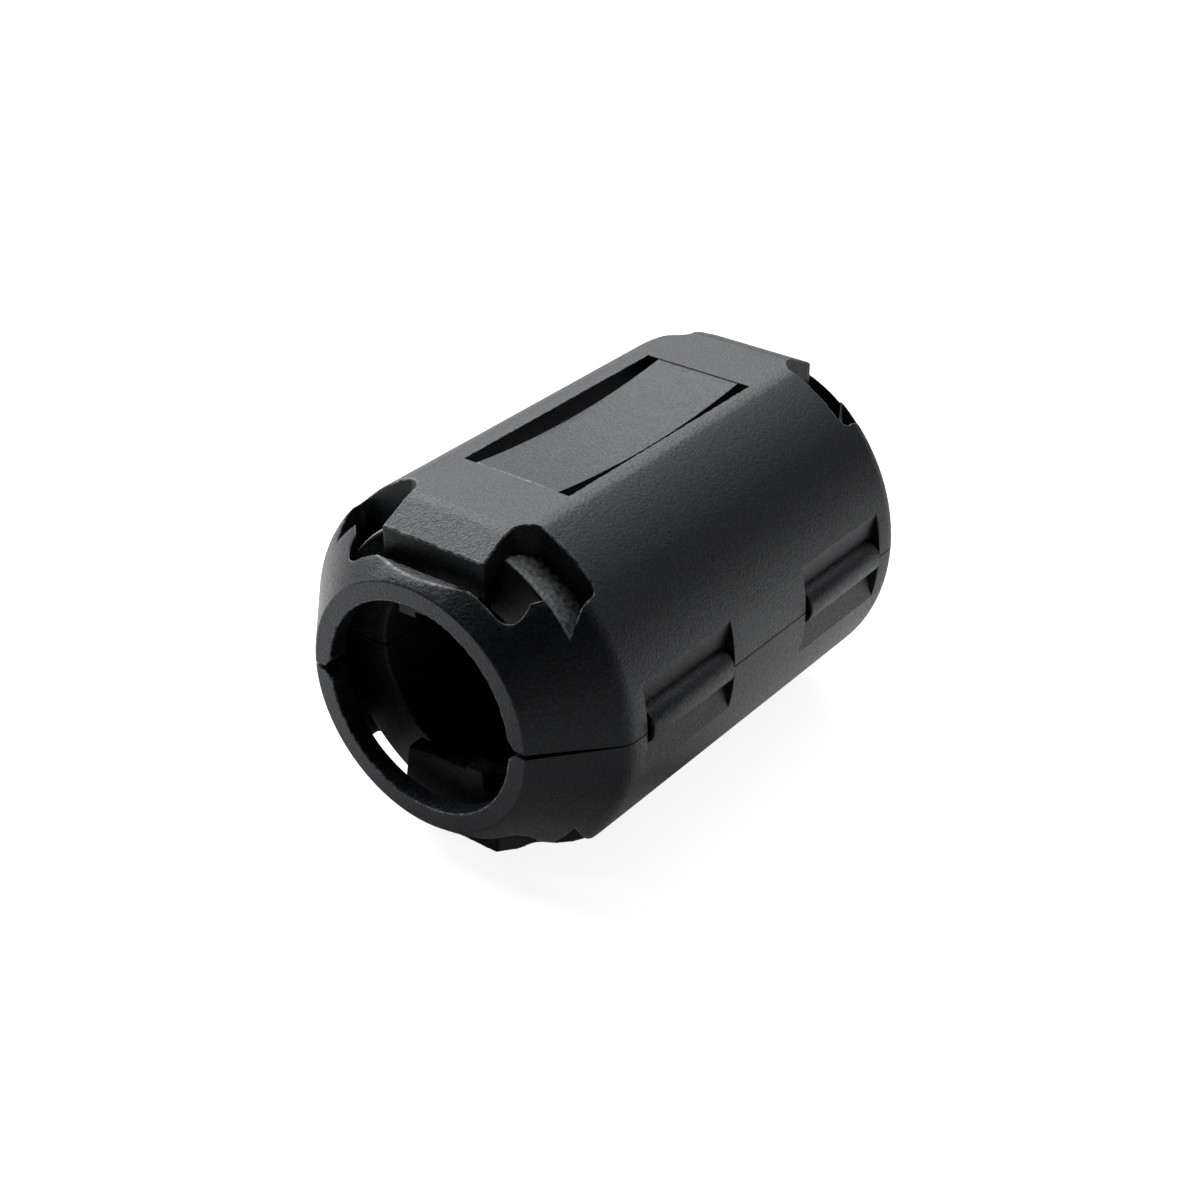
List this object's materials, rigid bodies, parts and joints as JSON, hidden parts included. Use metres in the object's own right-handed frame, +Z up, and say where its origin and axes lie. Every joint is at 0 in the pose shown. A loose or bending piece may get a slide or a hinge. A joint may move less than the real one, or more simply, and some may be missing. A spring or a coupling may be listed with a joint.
{
  "type": "clip on ferrite bead",
  "caption": "Round clip on ferrite bead: a hinged black plastic case that snaps shut around a cable and holds a split ferrite sleeve to damp interference.",
  "frame": {"origin": "centre of the ferrite's bore, on the parting plane, at the middle of the case's length", "axes": "+Y along the cable, away from the end shown in front in the picture; +X towards the hinge straps; +Z up, away from the flat that the case rests on"},
  "size_m": [0.0237, 0.036, 0.0216],
  "materials": {
    "black_plastic": "fine matte grain",
    "ferrite": "matte"
  },
  "bodies": {
    "lower_half": {"lower_shell": "black_plastic", "lower_ferrite": "ferrite", "hinge_strap_front": "black_plastic", "hinge_strap_rear": "black_plastic"},
    "upper_half": {"upper_shell": "black_plastic", "upper_ferrite": "ferrite", "latch_tongue_front": "black_plastic", "latch_tongue_rear": "black_plastic"}
  },
  "joints": [
    {"name": "case_hinge", "type": "hinge", "parent": "lower_half", "child": "upper_half", "pos_m": [0.0124, 0, 0], "axis": [0, 1, 0], "range_deg": [0, 180], "deforming": ["hinge_strap_front", "hinge_strap_rear", "latch_tongue_front", "latch_tongue_rear"]}
  ]
}
